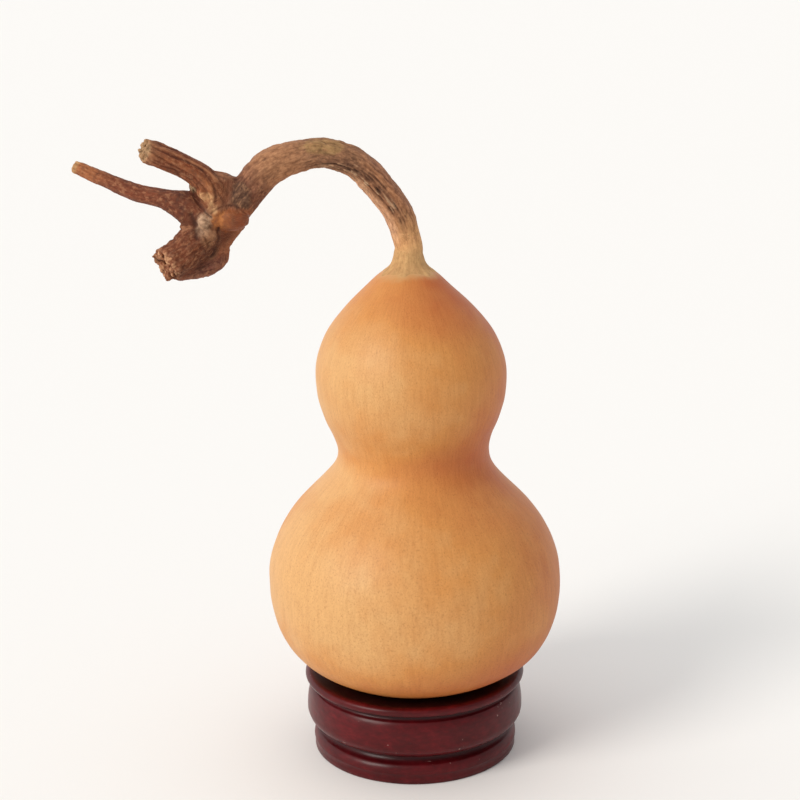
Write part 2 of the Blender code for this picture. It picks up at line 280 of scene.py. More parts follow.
def on_circles(radius, angle, z):
    """Points at a radius and an angle about Z, at the height z."""
    return stacked(radius * np.cos(angle), radius * np.sin(angle), z)


def circle_angles(count):
    """Angles spaced evenly round a circle, as one row."""
    return np.linspace(0, 2 * np.pi, count, endpoint=False)[None, :]


def wrapped_mesh(rings):
    """Points, quads and triangles of a closed surface over an array of rings. Each end ring is drawn in to
    its middle. The faces are turned to point out: if the sum of their triple products, six times the volume
    inside, is below zero, they are reversed."""
    count, sides = rings.shape[:2]
    points = np.vstack([rings.reshape(-1, 3), rings[0].mean(axis=0), rings[-1].mean(axis=0)])
    row = np.arange(sides)
    following = np.roll(row, -1)
    lower = (np.arange(count - 1) * sides)[:, None]
    upper = lower + sides
    quads = stacked(lower + row, lower + following, upper + following, upper + row).reshape(-1, 4)
    pole = count * sides
    last = pole - sides
    fans = np.vstack([stacked(following, row, pole), stacked(last + row, last + following, pole + 1)])
    triangles = np.vstack([quads[:, :3], quads[:, [0, 2, 3]], fans])
    a, b, c = np.moveaxis(points[triangles], 1, 0)
    if (a * np.cross(b, c)).sum() < 0:
        quads, fans = quads[:, ::-1], fans[:, ::-1]
    return points, quads, fans


def mesh_from(name, bodies):
    """One mesh of wrapped_mesh's bodies, given in millimetres."""
    faces, start = [], 0
    for points, quads, fans in bodies:
        faces += (quads + start).tolist() + (fans + start).tolist()
        start += len(points)
    mesh = bpy.data.meshes.new(name)
    mesh.from_pydata((np.vstack([body[0] for body in bodies]) * MM).tolist(), [], faces)
    return mesh


def in_scene(name, data):
    """A new object in the scene that shows the given data."""
    made = bpy.data.objects.new(name, data)
    bpy.context.scene.collection.objects.link(made)
    return made


def piece_from(name, rings):
    """A smooth object at the origin, over rings of points in millimetres."""
    mesh = mesh_from(name, [wrapped_mesh(rings)])
    mesh.shade_smooth()
    return in_scene(name, mesh)


def keep_values(piece, name, values):
    """Stores a number, or a row of three, at each of the piece's points, for its material to read."""
    kind, field = ("FLOAT", "value") if values.ndim == 1 else ("FLOAT_VECTOR", "vector")
    attribute = piece.data.attributes.new(name, kind, "POINT")
    attribute.data.foreach_set(field, values.astype(np.float32).ravel())


def stand_for(piece, node, material):
    """Dresses a piece, and puts it in the place of its node."""
    piece.data.materials.append(material)
    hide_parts(node)
    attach(piece, "root")


# The fruit


def gourd_axis(z):
    """Where the fruit's own axis is in X: an offset, a lean about the belly, and a bend at the waist."""
    return AXIS_OFFSET + AXIS_LEAN * (z - BELLY_Z) + WAIST_SHIFT * bell(z, WAIST_Z, WAIST_SPREAD)


def make_gourd():
    """The rind: its outline turned round a wandering axis, radius times 1 + two cosines of the angle for a
    slightly oval, three-lobed body, plus shallow dents from layered noise. Both fade out at the poles."""
    outline = smooth_curve(GOURD_OUTLINE, 1.0)
    along = arc_lengths(outline)
    wanted = np.linspace(0, along[-1], GOURD_ROWS)[:, None]
    radius = np.interp(wanted, along, outline[:, 0])
    z = np.interp(wanted, along, outline[:, 1])
    around = circle_angles(GOURD_SIDES)
    uneven = OVAL_SHARE * np.cos(2 * around + OVAL_TURN) + LOBE_SHARE * np.cos(3 * around + LOBE_TURN)
    swollen = radius * (1 + uneven * np.minimum(1.0, radius / 20.0))
    rings = on_circles(swollen, around, z) + stacked(gourd_axis(z), 0.0, 0.0)
    outward = rings - stacked(gourd_axis(z), 0.0, z)
    outward /= np.maximum(np.linalg.norm(outward, axis=-1, keepdims=True), 1e-6)
    # The noise less 0.4, so that more of the rind is dented in than raised.
    dents = DENT_DEPTH * (layered_noise(rings / DENT_WIDTH + 2.2, 11) - 0.4)
    rings = rings + outward * (dents * np.minimum(1.0, radius / 12.0))[..., None]
    piece = piece_from("gourd_rind", rings)
    keep_values(piece, "fibre_drum", ring_values(on_circles(FIBRE_DRUM, around, wanted)))
    keep_values(piece, "blush_and_painted_light", ring_values(rind_blush_and_painted_light(rings, around, z)))
    return piece


def rind_blush_and_painted_light(rings, around, z):
    """How red the rind is, 0 to 1, with painted light in it: less on the side that the key light comes from,
    and less on the front-left of the belly and under the waist on the left, as painted highlights; more at the
    waist, the shoulder and the blossom end, with blotches from layered noise."""
    # Painted light: the side that the key light comes from is made paler and more golden, the far side redder.
    side = 0.47 - 0.34 * np.cos(around - radians(PAINTED_LIGHT_SIDE))
    facing = np.cos(around - radians(REDDEST_SIDE))
    # The second waist band is a painted highlight: paler under the waist, strongest on the left.
    waist = sum(share * bell(z, *band) * (even + sided * facing) for share, *band, even, sided in WAIST_BANDS)
    shoulder = 0.27 * smoothstep(130, 148, z)
    bottom = 0.42 * smoothstep(52, 28, z)
    # Painted highlight: the front-left of the belly is made paler.
    belly = -0.16 * bell(z, 60.0, 15.0) * np.maximum(0, np.cos(around - radians(PAINTED_HIGHLIGHT_SIDE)))
    blotches = 0.13 * layered_noise(rings / 21.0 + 3.7, 13, 4) + 0.07 * layered_noise(rings / 5.0, 15)
    return np.clip(side + waist + shoulder + bottom + belly + blotches, 0, 1)


def rind_material():
    """A bottle gourd's cured rind, scraped, dried and handled until it takes a wax-like satin. Golden and
    paler on the side that the key light falls on, which is painted light, redder at the shoulder and the
    waist, with fine fibres from end to end."""
    made, add, shader = new_material("cured gourd rind")
    drum = add("Attribute", out="Vector", attribute_name="fibre_drum")
    blush_and_painted_light = add("Attribute", out="Fac", attribute_name="blush_and_painted_light")
    place = add("TexCoord", out="Object")
    # Low values, pale and golden, carry the painted light as well as the rind's own tone.
    tone_and_painted_light = add("ValToRGB", {"Fac": blush_and_painted_light}, [(0.05, "#DFAD71"), (0.42, "#D8944E"), (0.95, "#C2672C")])
    # Fibres about 0.9 mm apart and 7 mm long, drawn along the rind.
    streaks = [(0.32, "#D8C6B4"), (0.50, "#F0EBE5"), (0.68, "#FFFFFF")]
    fibres, threaded = speckled(add, tone_and_painted_light, 0.30, drum, (0.9, 0.9, 7.0), 3.0, 0.6, streaks)
    # Pores 0.35 mm wide and 0.6 mm long, dark ones and pale ones.
    pores = [(0.27, "#BFA38C"), (0.42, "#EAE2DA"), (0.60, "#F4F0EC"), (0.74, "#FFFFFF")]
    flecks, pored = speckled(add, threaded, 0.55, drum, (0.35, 0.35, 0.6), 2.0, 0.6, pores)
    # Straw-coloured rind where the stem grows out, with a lower edge that is uneven by 2 mm.
    height = add("SeparateXYZ", {"Vector": place}, out="Z")
    cloud = add("TexNoise", {"Vector": place, "Scale": 1 / 0.004, "Detail": 3.0})
    fray = add("MapRange", {"Value": cloud, "To Min": -0.002, "To Max": 0.002})
    frayed = add("Math", {0: height, 1: fray}, operation="ADD")
    edge = {"Value": frayed, "From Min": 0.1532, "From Max": 0.1566}
    collar = add("MapRange", edge, interpolation_type="SMOOTHSTEP")
    skin = add("Mix", {"Factor": collar, "A": pored, "B": linear("#C69A66")}, **OVER)
    rough = add("MapRange", {"Value": flecks, "To Min": 0.44, "To Max": 0.58})
    relief = add("Mix", {"Factor": 0.5, "A": fibres, "B": flecks}, data_type="FLOAT")
    bump = add("Bump", {"Height": relief, "Strength": 0.25, "Distance": 0.0003})
    feed(shader, {"Base Color": skin, "Roughness": rough, "Normal": bump})
    feed(shader, {"IOR": 1.46, "Specular IOR Level": 0.42})
    return made


# The stand


def arc(centre, half_sizes, start, end):
    """Points of an elliptical arc of the section, with angles in degrees from the outward direction."""
    length = radians(abs(end - start)) * max(half_sizes)
    angles = np.radians(np.linspace(start, end, max(4, round(length / STAND_STEP))))
    return [
        (centre[0] + half_sizes[0] * cos(a), centre[1] + half_sizes[1] * sin(a))
        for a in angles
    ]


def stand_section():
    """(radius, height) points from the dish's centre over the rim and down to the underside's centre."""
    rim_centre = (RIM_R - RIM_ROUND, RIM_Z)
    top_z = RIM_Z + RIM_ROUND
    dish_depth = DISH_EDGE_Z - DISH_FLOOR_Z
    dish = [
        (0.0, DISH_FLOOR_Z),
        (0.5 * DISH_EDGE_R, DISH_FLOOR_Z + 0.2 * dish_depth),
        (0.8 * DISH_EDGE_R, DISH_FLOOR_Z + 0.5 * dish_depth),
        (DISH_EDGE_R, DISH_EDGE_Z),
        (SEAT_R, SEAT_Z),
        (0.7 * rim_centre[0] + 0.3 * SEAT_R, top_z - 0.3),
        (rim_centre[0], top_z),
    ]
    points = smooth_curve(dish, 2 * STAND_STEP)[:-1].tolist()
    points += arc(rim_centre, (RIM_ROUND, RIM_ROUND), 90, -60)
    points.append(UPPER_GROOVE)
    upper_half = (OVOLO_R - OVOLO_HIGH_R, OVOLO_HIGH_Z - OVOLO_Z)
    lower_half = (OVOLO_R - OVOLO_LOW_R, OVOLO_Z - OVOLO_LOW_Z)
    points += arc((OVOLO_HIGH_R, OVOLO_Z), upper_half, 90, 0)[:-1]
    points += arc((OVOLO_LOW_R, OVOLO_Z), lower_half, 0, -90)
    points.append(LOWER_GROOVE)
    shoulder = (FOOT_SHOULDER, FOOT_TOP_Z - FOOT_STEP_Z)
    points += arc((FOOT_R - FOOT_SHOULDER, FOOT_STEP_Z), shoulder, 80, 0)
    wall_r = FOOT_R - FOOT_STEP
    points += [(wall_r, FOOT_STEP_Z - FOOT_STEP), (wall_r, 0.5 * FOOT_STEP_Z), (wall_r, FOOT_EDGE)]
    points += [(wall_r - FOOT_EDGE, 0.0), (0.6 * FOOT_R, 0.0), (0.0, 0.0)]
    return np.array(points)


def painted_groove_and_seat_shade(radius, z):
    """How much painted shade there is, 0 to 1: in the two grooves, and a painted shadow of the fruit on the
    ledge round the seat.
    """
    upper = bell(z, UPPER_GROOVE[1], GROOVE_SHADE_SPREAD)
    lower = 0.6 * bell(z, LOWER_GROOVE[1], GROOVE_SHADE_SPREAD)
    # Painted shadow of the fruit on the ledge inside the rim.
    ledge = 0.85 * smoothstep(RIM_R - 1.1, RIM_R - 3.0, radius) * (z > UPPER_GROOVE[1])
    return np.maximum(np.maximum(upper, lower) * (radius > SEAT_R), ledge)


def make_stand():
    """The section turned about Z. Each ring's radius wavers by a few hundredths of a millimetre with the
    angle and the height, as hand-brushed lacquer does."""
    radius, z = stand_section().T[:, :, None]
    around = circle_angles(STAND_SIDES)
    flat = on_circles(radius, around, z)
    waver = 0.05 * layered_noise(flat / 9.0 + 3.1, 21) * (radius > SEAT_R)
    piece = piece_from("stand_turning", flat + on_circles(waver, around, 0.0))
    keep_values(piece, "painted_stand_shade", ring_values(np.broadcast_to(painted_groove_and_seat_shade(radius, z), waver.shape)))
    return piece


def lacquer_material():
    """Turned hardwood, stained dark red and brushed with thick gloss lacquer: a deep, nearly even maroon with
    soft mirror lights, painted shade in the grooves and on the ledge round the seat, and chipped to pale wood
    at a few points."""
    made, add, shader = new_material("red stained lacquered hardwood")
    place = add("TexCoord", out="Object")
    # Wood rays about 2 mm apart under the stain, lying along the block's Y direction.
    rays = add("Mapping", {"Vector": place, "Scale": (1 / 0.0022, 1 / 0.02, 1 / 0.0012)})
    grain = add("TexNoise", {"Vector": rays, "Scale": 1.0, "Detail": 4.0, "Roughness": 0.6})
    stain = add("ValToRGB", {"Fac": grain}, [(0.28, "#4A080C"), (0.52, "#570A10"), (0.74, "#661016")])
    cloud = add("TexNoise", {"Vector": place, "Scale": 1 / 0.013, "Detail": 3.0})
    clouded = add("ValToRGB", {"Fac": cloud}, [(0.30, "#C0B4B4"), (0.66, "#FFFFFF")])
    stained = add("Mix", {"Factor": 0.8, "A": stain, "B": clouded}, **TIMES)
    # Chips about 0.6 mm across, sparse: only where both noises are high.
    chips = add("TexNoise", {"Vector": place, "Scale": 1 / 0.0011, "Detail": 1.0})
    sparse = add("TexNoise", {"Vector": place, "Scale": 1 / 0.008, "Detail": 1.0})
    both = add("Math", {0: chips, 1: sparse}, operation="MULTIPLY")
    chip = add("MapRange", {"Value": both, "From Min": 0.470, "From Max": 0.505, "To Max": 0.7})
    wood = add("Mix", {"Factor": chip, "A": stained, "B": linear("#A27A72")}, **OVER)
    # Painted shade: near black laid over the grooves and the ledge under the fruit.
    painted_stand_shade = add("Attribute", out="Fac", attribute_name="painted_stand_shade")
    deep = add("Mix", {"Factor": painted_stand_shade, "A": wood, "B": linear("#190508")}, **OVER)
    haze = add("MapRange", {"Value": cloud, "To Min": 0.22, "To Max": 0.46})
    # Brush marks 6 mm across and 2.2 mm high.
    brush = add("Mapping", {"Vector": place, "Scale": (1 / 0.006, 1 / 0.006, 1 / 0.0022)})
    orange_peel = add("TexNoise", {"Vector": brush, "Scale": 1.0, "Detail": 2.0})
    bump = add("Bump", {"Height": orange_peel, "Strength": 0.16, "Distance": 0.0006})
    feed(shader, {"Base Color": deep, "Roughness": haze, "Normal": bump})
    feed(shader, {"IOR": 1.5, "Specular IOR Level": 0.24})
    return made


# The stem


class Limb:
    """One limb of the stem: its path, its radii, and at each point the directions away from the arch's inside
    and towards the viewer, which its angles are measured between."""

    def __init__(self, path):
        self.centres, self.radii = path[:, :3], path[:, 3]
        self.along = arc_lengths(path)
        self.tangents = np.gradient(self.centres, axis=0)
        self.tangents /= np.linalg.norm(self.tangents, axis=1, keepdims=True)
        # Towards the viewer, less its share along the path.
        front = np.array([0.0, -1.0, 0.0]) + self.tangents * self.tangents[:, 1:2]
        self.front = front / np.linalg.norm(front, axis=1, keepdims=True)
        self.over = np.cross(self.tangents, self.front)


def ring_grid(limb, radii, angles, shift):
    """Rings round a limb's path: centre + radius (over cos + front sin) + shift along the path, for each
    angle."""
    over = limb.over[:, None] * np.cos(angles)[..., None]
    front = limb.front[:, None] * np.sin(angles)[..., None]
    across = (over + front) * radii[..., None]
    return limb.centres[:, None] + across + limb.tangents[:, None] * shift[..., None]


# How far apart a limb's rings are, and how many points each has.
PATH_STEP = 0.5
LIMB_SIDES = 56


def limb_body(limb, ribs, depth, twist, seed, cup=0.0, ragged=0.0, slant=0.0):
    """A closed tube along a limb. Its radius is r(s) times 1 + depth (cosines of the ribs, plus noise), and
    the ribs turn by twist over its length. With a cup, the far end is a broken wall round a hollow, and with
    a slant the break lies further back on the side towards the viewer."""
    angles = circle_angles(LIMB_SIDES)
    share = (limb.along / limb.along[-1])[:, None]
    turned = angles + twist * share
    wave = np.cos(ribs * turned) + 0.5 * np.cos((2 * ribs - 1) * turned + 2.0)
    bark = on_circles(1.6, turned, limb.along[:, None] / 9.0)
    radii = limb.radii[:, None] * (1 + depth * (0.6 * wave + lattice_noise(bark, seed)))
    near_end = smoothstep(limb.along[-1] - 5 * slant - 0.1, limb.along[-1], limb.along)[:, None]
    grid = ring_grid(limb, radii, angles, -slant * np.sin(angles) * near_end)
    if not cup:
        return wrapped_mesh(grid)
    fray = ragged * layered_noise(on_circles(1.9, angles[0], 0.0) + 5.5, seed)
    end = limb.tangents[-1]
    middle = limb.centres[-1]
    rim = grid[-1] + fray[:, None] * end
    wall = middle + 0.88 * (grid[-1] - middle) + (fray - 0.25)[:, None] * end
    floor = middle + 0.80 * (grid[-1] - middle) - cup * end
    return wrapped_mesh(np.concatenate([grid[:-1], rim[None], wall[None], floor[None]]))


def crumbs(limb, count, size, slant, seed):
    """Lumps of broken pith over a limb's slanting break: uneven balls set in a sunflower spiral."""
    draw = np.random.default_rng(seed)
    bodies = []
    for k in range(count):
        away = 0.84 * sqrt((k + 0.35) / count)
        turn = k * radians(137.5) + draw.uniform(-0.3, 0.3)
        across = limb.over[-1] * cos(turn) + limb.front[-1] * sin(turn)
        reach = size * draw.uniform(-1.0, 0.35) - slant * away * sin(turn)
        centre = limb.centres[-1] + limb.radii[-1] * away * across + reach * limb.tangents[-1]
        bodies.append(knob(centre, size * draw.uniform(0.6, 1.3, 3), draw.uniform(0, 180), seed + k))
    return bodies


def knob(centre, half_sizes, turn, seed):
    """A lump of the node: a sphere stretched to three half sizes, turned about Y, with a noisy radius."""
    rows = np.linspace(-np.pi / 2, np.pi / 2, 22)[:, None]
    around = circle_angles(32)
    ball = on_circles(np.cos(rows), around, np.sin(rows))
    ball = ball * (1 + 0.10 * layered_noise(ball * 1.3 + seed, seed)[..., None])
    tilt = np.array(Matrix.Rotation(radians(turn), 3, "Y"))
    return wrapped_mesh(np.array(centre) + (ball * half_sizes) @ tilt.T)


# The cell of the stem's skin. A finer one would take it past 200,000 triangles.
VOXEL = 0.295

# Lumps of the node: (centre, half sizes, turn about Y in degrees).
SHIELD = ((-53.3, -8.9, 173.6), (5.7, 4.3, 3.5), 10.0)
NODE_LUMPS = [
    ((-57.0, -6.2, 175.0), (6.6, 6.4, 6.3), 0.0),
    SHIELD,
    ((-55.3, -6.0, 184.2), (5.2, 3.2, 2.5), 20.0),
    ((-52.8, -6.8, 182.0), (4.8, 3.2, 3.7), 30.0),
    ((-58.7, -10.5, 178.4), (1.8, 1.9, 1.5), 40.0),
    ((-60.8, -9.8, 180.6), (2.3, 1.9, 1.4), 45.0),
    ((-61.0, -10.9, 172.4), (2.0, 2.3, 3.0), 10.0),
    ((-59.3, -11.6, 168.8), (2.3, 2.0, 2.2), -30.0),
    ((-63.7, -5.8, 182.4), (1.8, 2.0, 2.1), 0.0),
    ((-66.3, -9.0, 170.8), (2.3, 2.0, 1.3), 10.0),
    ((-67.0, -8.2, 169.6), (1.9, 1.9, 1.0), -20.0),
    ((-60.8, -4.8, 161.4), (3.2, 2.6, 2.4), 0.0),
    ((-60.4, -6.9, 163.4), (4.6, 3.4, 3.4), 0.0),
    ((-71.9, -12.2, 157.9), (1.4, 1.4, 2.5), 8.0),
]


def stem_limbs():
    """The foot and arch as one limb, then the four limbs of the node."""
    top_x = gourd_axis(GOURD_OUTLINE[-1][1])
    flare = smooth_curve([(top_x, 0.0, z, r) for r, z in FOOT_FLARE], PATH_STEP)
    arch = smooth_curve(ARCH, PATH_STEP)
    stations = [np.vstack([flare, arch])]
    stations += [smooth_curve(s, PATH_STEP) for s in (UPPER_VINE, LEAF_STALK, LOWER_VINE, BARK_FOLD)]
    return [Limb(path) for path in stations]


def fused(name, bodies):
    """One skin round several overlapping bodies, by a voxel remesh."""
    mesh = mesh_from(name, bodies)
    rough = in_scene(name, mesh)
    remesh = rough.modifiers.new("one skin", "REMESH")
    remesh.mode = "VOXEL"
    remesh.voxel_size = VOXEL * MM
    graph = bpy.context.evaluated_depsgraph_get()
    skin = bpy.data.meshes.new_from_object(rough.evaluated_get(graph))
    bpy.data.objects.remove(rough)
    bpy.data.meshes.remove(mesh)
    return skin


def read_rows(items, name, width, kind=np.float32):
    """One value of all of a mesh's points or edges, as rows."""
    values = np.empty(len(items) * width, kind)
    items.foreach_get(name, values)
    return values.reshape(-1, width)


def move_points(mesh, points):
    """Puts a mesh's points at the given ones, which are in millimetres."""
    mesh.vertices.foreach_set("co", (points * MM).astype(np.float32).ravel())
    mesh.update()


def neighbour_mean(values, edges):
    """Each point's mean over the points that an edge joins it to."""
    near, far = np.concatenate([edges, edges[:, ::-1]]).T
    count = np.bincount(near, minlength=len(values))
    columns = values.reshape(len(values), -1).T
    totals = [np.bincount(near, weights=column[far], minlength=len(values)) for column in columns]
    return (np.stack(totals, axis=1) / np.maximum(count, 1)[:, None]).reshape(values.shape)


def relaxed(values, edges, rounds):
    """Values drawn halfway to their neighbours' mean, round after round."""
    for _ in range(rounds):
        values = 0.5 * values + 0.5 * neighbour_mean(values, edges)
    return values


def limb_places(points, limb):
    """Each point's place on a limb: across it (two columns, never further out than the limb's usual radius,
    so that fibres spread with a flare), along it, its angle, and its distance outside the limb's radius."""
    nearest = np.empty(len(points), int)
    squares = (limb.centres**2).sum(axis=1)
    for chunk in np.array_split(np.arange(len(points)), 32):
        nearest[chunk] = (squares - 2 * points[chunk] @ limb.centres.T).argmin(axis=1)
    offset = points - limb.centres[nearest]
    over = (offset * limb.over[nearest]).sum(axis=1)
    front = (offset * limb.front[nearest]).sum(axis=1)
    along = limb.along[nearest] + (offset * limb.tangents[nearest]).sum(axis=1)
    away = np.hypot(over, front)
    drawn_in = np.minimum(1.0, np.median(limb.radii) / np.maximum(away, 1e-6))
    outside = np.linalg.norm(offset, axis=1) - limb.radii[nearest]
    return stacked(over * drawn_in, front * drawn_in, along), np.arctan2(front, over), outside


def furrow_line(along):
    """The angle at which the arch's long furrow lies: facing the viewer above the foot, then winding towards
    the inside of the arch."""
    return np.interp(along, [8, 20, 28, 36, 44, 52, 60], np.radians([88, 91, 95, 102, 113, 136, 150]))


# The furrow's troughs: (shift and width in degrees, where it starts and ends along the arch, depth).
TROUGHS = (
    (0, 7, 9, 62, 1.0),
    (14, 6, 18, 56, 0.9),
    (27, 6, 22, 54, 0.8),
    (-13, 6, 14, 46, 0.9),
    (-26, 5, 20, 50, 0.7),
    (40, 5, 24, 52, 0.6),
    (-42, 5, 24, 50, 0.5),
    (-58, 5, 26, 52, 0.4),
)


def main_furrow(along, angle):
    """How deep in one of the furrow's troughs a point is, 0 to 1."""
    total = 0.0
    for shift, width, low, high, depth in TROUGHS:
        trough = bell(angle - furrow_line(along), radians(shift), radians(width))
        reach = smoothstep(low, low + 8, along) * smoothstep(high, high - 12, along)
        total = np.maximum(total, depth * reach * trough)
    return total


def loose_fibres(grain, angle):
    """Pale dashes of bare fibre in and inside the furrow, 0 to 1: high spots of a noise 0.45 mm wide and
    2.2 mm long."""
    along = grain[:, 2]
    side = (angle - furrow_line(along)) / radians(30)
    band = bell(side, 0.4, 1.0) * smoothstep(12, 24, along) * smoothstep(58, 44, along)
    return band * smoothstep(0.30, 0.55, lattice_noise(grain / (0.45, 0.45, 2.2) + 3.0, 97))


# Marks on the front of the node, as (x, z) points: crevices that part its lumps, with widths and depths.
# Each is cut into the skin and darkened with painted shade.
CREVICES = [
    ([(-64.4, 181.6), (-62.4, 178.4), (-60.6, 176.0), (-58.8, 174.4)], 0.45, 0.8),
    ([(-58.6, 175.6), (-55.6, 177.4), (-51.6, 177.4), (-48.4, 175.4)], 0.40, 0.45),
    ([(-64.6, 175.0), (-63.8, 172.6), (-63.2, 170.2), (-62.8, 168.6)], 0.9, 0.7),
    (
        [(-56.6, 170.6), (-56.6, 167.4), (-57.8, 163.8), (-61.0, 161.0), (-65.0, 159.0), (-68.8, 158.0)],
        0.5, 0.9,
    ),
    ([(-57.6, 183.6), (-57.0, 180.2), (-57.4, 177.6)], 0.45, 0.45),
]


def front_paths(points, marks):
    """The marks' points with the depth of the skin's nearest place to the viewer put in."""
    placed = []
    for line, width, depth in marks:
        fine = smooth_curve([(x, 0.0, z) for x, z in line], 0.4)
        for station in fine:
            near = np.hypot(points[:, 0] - station[0], points[:, 2] - station[2]) < 0.6
            station[1] = points[near, 1].min() if near.any() else -8.0
        placed.append((fine, width, depth))
    return placed


def crevice_depth(points, placed):
    """How deep the crevices are at each point, in millimetres."""
    total = np.zeros(len(points))
    for line, width, depth in placed:
        around = (points > line.min(axis=0) - 3) & (points < line.max(axis=0) + 3)
        near = np.flatnonzero(around.all(axis=1))
        away = np.linalg.norm(points[near, None] - line[None], axis=2).min(axis=1)
        total[near] = np.maximum(total[near], depth * bell(away, 0.0, width))
    return total


def spot(points, centre, half_sizes, edge=0.25, seed=0, rough=0.22):
    """1 inside an ellipsoid and 0 outside, with a noisy edge."""
    away = np.linalg.norm((points - centre) / half_sizes, axis=1)
    away = away + rough * layered_noise(points / 1.3 + seed, 60 + seed, 2)
    return smoothstep(1 + edge, 1 - edge, away)


def scar_at(points, grown):
    """1 on the node's smooth scar and 0 outside, with the scar's lump grown by a factor."""
    return spot(points, SHIELD[0], np.array(SHIELD[1]) * grown, 0.16, 2, 0.13)


def strands(angle, along, count, turn, seed):
    """Rounded ribs with sharp valleys between them: |sin| of half their number times the angle, which drifts
    along the limb. It gives their height, 0 to 1, and how deep in a valley each point is."""
    drift = 0.35 * layered_noise(on_circles(1.0, angle, along / 7.0) + seed, seed, 2)
    rib = np.abs(np.sin(0.5 * count * (angle + turn * along / 30.0 + drift)))
    return np.sqrt(rib), smoothstep(0.34, 0.04, rib)


# The bark of the arch, the upper vine, the leaf stalk, the lower vine and the fold: (how many strands are
# round it, the heights of strands, fibres and bumps, and the painted shade in strand valleys and in cracks,
# which also sets how deep the cracks are cut).
BARKS = (
    (11, 0.12, 0.12, 0.17, 0.15, 0.50),
    (10, 0.40, 0.12, 0.12, 0.45, 0.40),
    (8, 0.10, 0.06, 0.12, 0.15, 0.20),
    (9, 0.12, 0.10, 0.30, 0.15, 0.60),
    (6, 0.22, 0.12, 0.34, 0.25, 0.50),
)
# The cells of the bark's noises, in millimetres: twice across the limb, and along it.
FIBRE_CELL = (0.8, 0.8, 6.0)
CRACK_CELL = (1.1, 1.1, 6.0)
CRACK_BREAK_CELL = (2.5, 2.5, 4.0)
TEAR_CELL = (0.7, 0.7, 2.4)
BUMP_CELL = 1.7
# How deep, in millimetres, cracks and the arch's furrow are sunk, and how proud loose fibres are.
CRACK_DEPTH = 0.22
FURROW_DEPTH = 0.60
LOOSE_HEIGHT = 0.15


def stem_relief(grain, angle, weights):
    """The bark's own height at each point, in millimetres: strands, fibres and bumps along each limb, and
    cracks, mixed by how near each limb is. It also gives the painted shade of cracks, the furrow and strand
    valleys at each point, 0 to 1."""
    height, painted_crack_shade = 0.0, 0.0
    for k, (count, strand, fibre, bump, valley_shade, crack_shade) in enumerate(BARKS):
        along = grain[k][:, 2]
        ribs, valleys = strands(angle[k], along, count, 0.5, 100 + k)
        fibres = layered_noise(grain[k] / FIBRE_CELL + 31.0 * k, 70 + k, 2)
        bumps = layered_noise(grain[k] / BUMP_CELL + 17.0 * k, 80 + k, 3)
        thin = np.abs(lattice_noise(grain[k] / CRACK_CELL + 5.0 * k, 90 + k))
        broken = smoothstep(0.15, 0.5, lattice_noise(grain[k] / CRACK_BREAK_CELL + 9.0 * k, 95 + k))
        cracks = crack_shade * smoothstep(0.14, 0.02, thin) * broken
        amount, sunk = 1.0, 0.0
        if k == 0:
            amount = 0.03 + 0.97 * smoothstep(10, 24, along)
            torn = np.clip(0.40 + 1.3 * lattice_noise(grain[k] / TEAR_CELL, 99), 0, 1.1)
            furrow = main_furrow(along, angle[k]) * torn * (0.3 + 0.7 * smoothstep(14, 26, along))
            sunk = FURROW_DEPTH * furrow - LOOSE_HEIGHT * loose_fibres(grain[k], angle[k])
            cracks = np.maximum(cracks * amount, 0.85 * furrow)
        lift = strand * (ribs - 0.7) + fibre * fibres + bump * bumps
        height += weights[k] * (amount * lift - CRACK_DEPTH * cracks - sunk)
        painted_crack_shade += weights[k] * np.maximum(cracks, valley_shade * valleys * amount)
    return height, np.clip(painted_crack_shade, 0, 1)


def blend(colour, other, share):
    """Rows of linear colours moved towards another colour by each row's share."""
    return colour + (np.array(linear(other)[:3]) - colour) * share[:, None]


def graded(along, first, *changes):
    """Rows of colours along a limb: the first, from which each (colour, from, to) then takes over."""
    colour = np.tile(linear(first)[:3], (len(along), 1))
    for shade, low, high in changes:
        colour = blend(colour, shade, smoothstep(low, high, along))
    return colour


def arch_tint(grain, angle):
    """The arch's broad colours: straw at the foot, then tan, and grey brown at the node, with a brown band of
    painted shade along the furrow, a greyer strip on its outer side, and a pale pinkish one on its inner side."""
    along = grain[:, 2]
    shades = [("#ECB57B", 8, 13), ("#DC9B6C", 15, 26), ("#A27656", 34, 44)]
    shades += [("#BC8962", 54, 62), ("#84523A", 67, 77)]
    colour = graded(along, "#D2A66F", *shades)
    outer = smoothstep(1.1, 0.5, angle) * smoothstep(14, 24, along) * smoothstep(46, 36, along)
    colour = blend(colour, "#AE7F68", 0.8 * outer)
    side = (angle - furrow_line(along)) / radians(36)
    reach = smoothstep(12, 24, along) * smoothstep(60, 44, along)
    # Painted shade: a broad dark brown band over the furrow's troughs.
    colour = blend(colour, "#5E3A2A", 0.62 * reach * bell(side, -0.15, 1.0))
    inner = smoothstep(0.4, 1.1, side) * smoothstep(10, 18, along) * smoothstep(46, 36, along)
    colour = blend(colour, "#EDBE98", 0.8 * inner)
    return blend(colour, "#F0CDA6", 0.85 * loose_fibres(grain, angle))


# Lines along the upper vine: (middle and width in degrees, colour, share, where it starts in millimetres). A
# line that starts at -99 has the vine's whole length.
VINE_LINES = (
    (14, 16, "#6B2E15", 0.8, 6),
    (40, 6, "#DF9F70", 0.8, 6),
    (54, 6, "#552711", 0.7, 6),
    (84, 8, "#C78656", 0.5, -99),
    (112, 12, "#5F2C15", 0.5, -99),
    (160, 14, "#BA784F", 0.5, -99),
)


def vine_tint(along, angle):
    """The upper vine's colours: a dark red-brown upper edge, a pale ridge under it, darker lines below, and a
    paler tip."""
    colour = graded(along, "#A25F34", ("#8E4823", 10, 18))
    rough = 0.65 + 0.5 * lattice_noise(stacked(angle * 4, along / 5.0, 0.5), 77)
    for middle, width, shade, share, start in VINE_LINES:
        band = bell(angle, radians(middle), radians(width)) * smoothstep(start, start + 6, along)
        colour = blend(colour, shade, np.clip(share * rough * band, 0, 1))
    return blend(colour, "#B77E56", smoothstep(28, 34, along))


